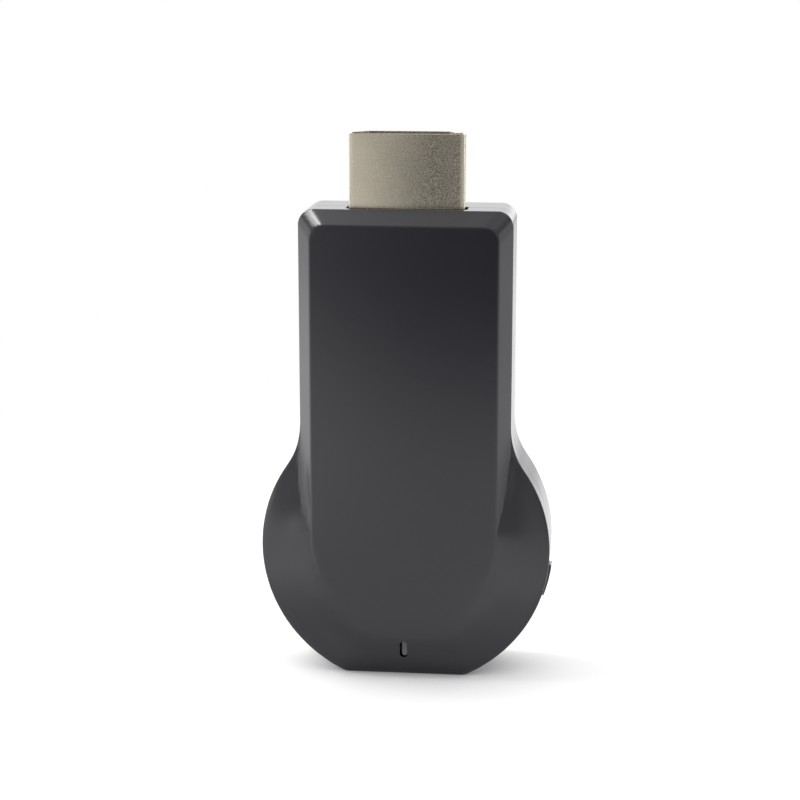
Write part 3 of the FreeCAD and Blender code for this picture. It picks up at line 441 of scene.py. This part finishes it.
def steps(start, end, pitch):
    """Places from start to end, one pitch apart."""
    return [start + pitch * number for number in range(int((end - start) / pitch) + 1)]


def ease(value, start, end):
    """Goes softly from 0 at start to 1 at end."""
    share = min(max((value - start) / (end - start), 0), 1)
    return share * share * (3 - 2 * share)


def half_rings():
    """Half of the places on two rings, 0.45 and 1 wide; the other half lies opposite."""
    places = []
    for share, count in ((0.45, 3), (1.0, 6)):
        for number in range(count):
            turn = math.pi * (number + 0.5) / count
            places.append((share * math.cos(turn), share * math.sin(turn)))
    return places


def front_net(form, rounded):
    """Cuts the outer faces of the front cover's form into a fine net, and returns them."""
    form.normal_update()
    faces = [
        face
        for face in form.faces
        if face not in rounded
        and face.normal.y < FRONTWARD
        and face.calc_center_median().y < RIM_Y - SAME
        and is_outside(face)
    ]
    lines = steps(-COVER_HALF, COVER_HALF, NET)
    lines += [MIDDLE + side * (FACE_HALF + shift * MM) for side in (-1, 1) for shift in NEAR]
    levels = steps(NET, COVER_TOP, NET) + [FACE_TOP + shift * MM for shift in NEAR]
    faces = cut_strips(form, faces, 2, levels)
    return cut_strips(form, faces, 0, lines)


def relax_front(form, rounded):
    """Cuts the front cover's form into a fine net and eases its edges, as moulding does.

    Each point takes the mean depth round it: close by at the edges of the flat face, and
    further round where the stem's bevels run out on the flares.
    """
    tree = form_tree([NODES["front_shell"].data])

    def depth(x, z):
        hit = tree.ray_cast(Vector((x, -0.05, z)), Vector((0, 1, 0)))[0]
        return hit.y if hit is not None and hit.y < RIM_Y + SAME else None

    rings = half_rings()
    faces = set(front_net(form, rounded))
    moves = {}
    for vertex in {vertex for face in faces for vertex in face.verts}:
        if not all(face in faces for face in vertex.link_faces):
            continue
        x, y, z = vertex.co
        side = abs(x - MIDDLE) - FACE_HALF
        wide = ease(side, 0.1 * MM, 1.3 * MM) * ease(-z, -36 * MM, -31 * MM)
        reach = (REACH + REACH_MORE * wide) * MM
        total, weight = y, 1
        for right, up in rings:
            first = depth(x + right * reach, z + up * reach)
            second = depth(x - right * reach, z - up * reach)
            if first is not None and second is not None:
                total += first + second
                weight += 2
        moves[vertex] = total / weight
    for vertex, height in moves.items():
        vertex.co.y = height


def bow_front(form, rounded):
    """Bows the plug's front sheet a little: its sides lie further back than its middle."""
    front = min(vertex.co.y for vertex in form.verts)
    half = max(vertex.co.x for vertex in form.verts) - MIDDLE
    sheet = [
        face
        for face in form.faces
        if face not in rounded and abs(face.calc_center_median().y - front) < SAME
    ]
    cut_strips(form, sheet, 0, steps(-PLUG_HALF, PLUG_HALF, BOW_PITCH))
    for vertex in form.verts:
        share = min(max((front + SHEET - vertex.co.y) / SHEET, 0), 1)
        vertex.co.y += BOW * share * ((vertex.co.x - MIDDLE) / half) ** 2


def draw_in(form, rounded):
    """Narrows the light bar towards its upper right: its gap is wider left and below."""
    right = max(vertex.co.x for vertex in form.verts)
    top = max(vertex.co.z for vertex in form.verts)
    for vertex in form.verts:
        vertex.co.x = right - BAR_WIDTH * (right - vertex.co.x)
        vertex.co.z = top - BAR_HEIGHT * (top - vertex.co.z)


soften("front_shell", "front_cover", 0.12 * MM, 0.07 * MM, spare=on_front_form, finish=relax_front)
soften("back_shell", "back_cover", 0.2 * MM, 0.07 * MM, segments=3)
soften(
    "plug_shell", "plug_sleeve", 0.07 * MM, 0.05 * MM,
    upright=0.4 * MM, segments=4, finish=bow_front,
)
soften("function_button", "button_cap", 0.25 * MM, 0.25 * MM, segments=4)
soften("light_pipe", "light_bar", 0.4 * MM, 0.05 * MM, segments=6, finish=draw_in)
soften("usb_shell", "inlet_shell", 0.06 * MM, 0.05 * MM)


# Studio: x runs to the right and y to the back, in metres from the object's middle

SHEET_REACH = 1.5
SHEET_WHITE = (0.9, 0.9, 0.9, 1)
SHEET_WHITE_SEEN = (0.99, 0.99, 0.99, 1)
PLAIN_WHITE = (1, 1, 1, 1)
LAMPS_AIM = (0, 0, 0.03)
CAMERA_PLACE = (0.024003, -0.23672, 0.08723)
CAMERA_FORWARD = (-0.10306, 0.97046, -0.21813)
CAMERA_RIGHT = (0.99441, 0.10560, 0)
CAMERA_SENSOR = 36
CAMERA_LENS = 89.07


def painted_sheet_reflections(shader, x, y, aside):
    """How bright the sheet is in gloss, which stands in for the photo's studio cards.

    It is painted reflection, a glow seen in gloss alone: the largest of five bright parts
    counts, and eleven factors dim or brighten it, as painted highlight and painted shade,
    where one face or bevel of the object mirrors it.
    """
    calc, between, smooth = shader.calc, shader.between, shader.smooth

    def slant(lean, across=x):
        return calc("MULTIPLY_ADD", across, lean, y)

    def less(across, along):
        """Factor that falls from 1 to 0 as both ramps rise to 1."""
        return calc("SUBTRACT", 1.0, calc("MULTIPLY", across, along))

    def more(across, along):
        """Factor that rises from 1 as both ramps rise from 0."""
        return calc("ADD", 1.0, calc("MULTIPLY", across, along))

    def round_y(middle):
        """Ramp of 0.9 in a band along x, which lies that far in front of the object."""
        return smooth(calc("ABSOLUTE", calc("ADD", y, middle)), 0.9, 0.0, 0.06, 0.13)

    face_left = smooth(slant(-3.0), 0.0, 1.05, -0.135, -0.062)
    face_middle = smooth(slant(-1.0), 0.0, 0.9, -0.24, -0.11)
    flare = calc(
        "MULTIPLY",
        smooth(slant(2.0), 0.0, 0.9, -0.25, -0.05),
        smooth(y, 1.0, 0.0, -0.13, -0.08),
    )
    right = smooth(x, 0.0, 0.5, 0.03, 0.13)
    plug = calc(
        "MULTIPLY",
        between(x, 0.68, 0.0, -0.12, -0.038),
        between(y, 1.0, 0.0, -0.46, -0.42),
    )
    glow = face_left
    for part in (face_middle, flare, right, plug):
        glow = calc("MAXIMUM", glow, part)

    # Painted shade: the glow falls to 0.3 just in front of the object and rises again behind it.
    near = calc("ADD", between(y, 1.0, 0.3, -0.026, 0.0), between(y, 0.0, 0.7, 0.0, 0.01))
    off = calc("ABSOLUTE", calc("ADD", x, 0.006))
    beside = calc(
        "MINIMUM",
        between(off, 1.0, 1.8, 0.01, 0.042),
        between(off, 1.6, 1.0, 0.07, 0.12),
    )
    left_end = less(smooth(x, 1.0, 0.0, -0.34, -0.25), round_y(-0.13))
    right_end = less(smooth(x, 0.0, 1.0, 0.21, 0.25), round_y(0.065))
    right_top = less(smooth(x, 0.0, 1.0, 0.33, 0.42), round_y(-0.06))
    right_side = between(x, 1.0, 2.0, 0.24, 0.28)
    right_front = less(between(x, 0.0, 1.0, 0.24, 0.3), smooth(y, 0.85, 0.0, -0.18, -0.1))
    left_front = less(
        smooth(x, 1.0, 0.0, -0.11, -0.07),
        calc(
            "MINIMUM",
            smooth(y, 0.45, 0.0, -0.14, -0.07),
            smooth(y, 0.0, 0.45, -0.5, -0.4),
        ),
    )
    right_near = less(between(x, 0.0, 1.0, 0.022, 0.036), between(y, 0.16, 0.0, -0.03, -0.01))
    back_sides = less(
        smooth(slant(-0.33, aside), 0.0, 0.85, 0.05, 0.1),
        smooth(aside, 0.0, 1.0, 0.05, 0.12),
    )
    face_right = more(
        calc(
            "MINIMUM",
            between(y, 0.0, 0.24, -0.23, -0.16),
            between(y, 0.24, 0.0, -0.14, -0.06),
        ),
        calc(
            "MINIMUM",
            between(x, 0.0, 1.0, -0.03, -0.009),
            between(x, 1.0, 0.0, 0.02, 0.04),
        ),
    )
    factors = (
        near, beside, left_end, right_end, right_top, right_side,
        right_front, left_front, right_near, back_sides, face_right,
    )
    for factor in factors:
        glow = calc("MULTIPLY", glow, factor)
    return glow


def studio_sheet():
    """A white sheet on the table; far from the object it shows as plain white, and in gloss it
    glows with painted reflections.
    """
    mesh = bpy.data.meshes.new("studio_sheet")
    signs = ((-1, -1), (1, -1), (1, 1), (-1, 1))
    corners = [(right * SHEET_REACH, back * SHEET_REACH, 0) for right, back in signs]
    mesh.from_pydata(corners, [], [(0, 1, 2, 3)])
    sheet = bpy.data.objects.new("studio_sheet", mesh)
    bpy.context.scene.collection.objects.link(sheet)
    shader = Shader("studio_sheet")
    calc, between, smooth = shader.calc, shader.between, shader.smooth
    rays = shader.node("LightPath").outputs
    is_camera, is_glossy = rays["Is Camera Ray"], rays["Is Glossy Ray"]
    white = shader.blend(is_camera, SHEET_WHITE, SHEET_WHITE_SEEN)
    shader.set(Base_Color=white, Roughness=0.9)

    where = shader.node("TexCoord").outputs["Object"]
    x, y, _ = shader.node("SeparateXYZ", {0: where}).outputs
    aside = calc("ABSOLUTE", x)
    away = shader.node("VectorMath", {0: where}, operation="LENGTH").outputs["Value"]
    far = between(away, 0, 1, 0.05, 0.16)
    # For gloss the painted glow takes the place of the real sheet, and of its real shadow, in a
    # narrow strip before the object and everywhere behind it.
    front = calc(
        "MULTIPLY", between(y, 1.0, 0.0, -0.02, 0.0), smooth(aside, 1.0, 0.0, 0.03, 0.06)
    )
    front_or_back = calc("ADD", front, between(y, 0.0, 1.0, 0.01, 0.03))
    plain = calc("MAXIMUM", far, calc("MULTIPLY", front_or_back, is_glossy))
    seen = calc("MAXIMUM", calc("MAXIMUM", is_camera, is_glossy), rays["Is Transmission Ray"])

    # Camera rays see plain white; gloss sees the painted reflections.
    strength = shader.mix(is_camera, painted_sheet_reflections(shader, x, y, aside), 1.0)
    glow = shader.node("Emission", {"Color": PLAIN_WHITE, "Strength": strength})
    mixed = shader.node(
        "MixShader",
        {0: calc("MULTIPLY", seen, plain), 1: shader.surface.outputs[0], 2: glow.outputs[0]},
    )
    output = shader.tree.nodes["Material Output"]
    shader.feed(output.inputs["Surface"], mixed.outputs[0])
    paint(sheet, shader.material)


def studio_world():
    """Plain white for the camera; light that is paler behind the object than before it.

    What gloss mirrors of it is dimmer straight above, and low down at the sides.
    """
    world = bpy.data.worlds.new("studio")
    bpy.context.scene.world = world
    world.use_nodes = True
    nodes = NodeTree(world.node_tree)
    calc, between = nodes.calc, nodes.between
    rays = nodes.node("LightPath").outputs
    where = nodes.node("TexCoord").outputs["Generated"]
    x, y, z = nodes.node("SeparateXYZ", {0: where}).outputs
    aside = calc("ABSOLUTE", x)

    low = between(z, -0.65, 0.0, 0.0, 0.35)
    centre = between(aside, 1.0, 0.0, 0.1, 0.35)
    less_low = calc("MULTIPLY_ADD", low, centre, 1.0)
    ahead = calc("MULTIPLY", between(x, 0.65, 0.6, -0.75, 0.6), less_low)
    light = between(y, ahead, 0.9, -0.25, 0.25)

    above = between(z, 1.0, 0.6, 0.85, 0.97)
    level = between(z, -0.7, 0.0, 0.05, 0.3)
    sides = between(aside, 0.0, 1.0, 0.85, 0.95)
    ends = calc("MULTIPLY_ADD", level, sides, 1.0)
    gloss = nodes.mix(rays["Is Glossy Ray"], 1.0, calc("MULTIPLY", above, ends))

    strength = nodes.mix(rays["Is Camera Ray"], calc("MULTIPLY", light, gloss), 1.0)
    background = nodes.tree.nodes["Background"]
    nodes.feed(background.inputs["Color"], PLAIN_WHITE)
    nodes.feed(background.inputs["Strength"], strength)


def lamp(name, place, aim, width, height, brightness, gloss_only=False):
    """A soft flat lamp, brightness times as bright as plain white."""
    light = bpy.data.lights.new(name, "AREA")
    light.shape = "RECTANGLE"
    light.size = width
    light.size_y = height
    light.energy = math.pi * width * height * brightness
    thing = bpy.data.objects.new(name, light)
    thing.location = place
    thing.rotation_euler = (Vector(aim) - Vector(place)).to_track_quat("-Z", "Y").to_euler()
    thing.visible_camera = False
    thing.visible_diffuse = not gloss_only
    bpy.context.scene.collection.objects.link(thing)


def studio_camera():
    """The photograph's camera: a short telephoto lens, a little above and to the right."""
    forward = Vector(CAMERA_FORWARD).normalized()
    right = Vector(CAMERA_RIGHT).normalized()
    up = right.cross(forward)
    place = Vector(CAMERA_PLACE)
    camera = bpy.data.objects.new("camera", bpy.data.cameras.new("camera"))
    bpy.context.scene.collection.objects.link(camera)
    camera.matrix_world = Matrix(
        (
            (right.x, up.x, -forward.x, place.x),
            (right.y, up.y, -forward.y, place.y),
            (right.z, up.z, -forward.z, place.z),
            (0, 0, 0, 1),
        )
    )
    camera.data.sensor_width = CAMERA_SENSOR
    camera.data.lens = CAMERA_LENS
    camera.data.clip_start = 0.01
    camera.data.clip_end = 10
    bpy.context.scene.camera = camera


studio_sheet()
studio_world()

# The key stands at the upper left. Top and back light the whole, left and right its sides.
lamp("lamp_key", (-0.34, 0.03, 0.55), LAMPS_AIM, 0.24, 0.36, 4.5)
lamp("lamp_glow", (-0.33, 0.03, 0.54), LAMPS_AIM, 0.22, 0.30, 16, gloss_only=True)
lamp("lamp_top", (0.2, 0.1, 0.8), LAMPS_AIM, 1.2, 1.0, 0.5)
lamp("lamp_back", (0, 1.0, 0.25), (0, 0, 0.1), 1.6, 0.5, 0.65)
lamp("lamp_glint", (0.5, 1.0, 0.2), (0, 0, 0.04), 0.6, 0.4, 1.9, gloss_only=True)
lamp("lamp_left", (-0.11, 0.05, 0.05), (0, 0.05, 0.05), 0.34, 0.10, 1.3)
lamp("lamp_right", (0.12, 0.06, 0.05), (0, 0.06, 0.05), 0.2, 0.10, 1.0)

studio_camera()
bpy.context.scene.view_settings.view_transform = "Standard"
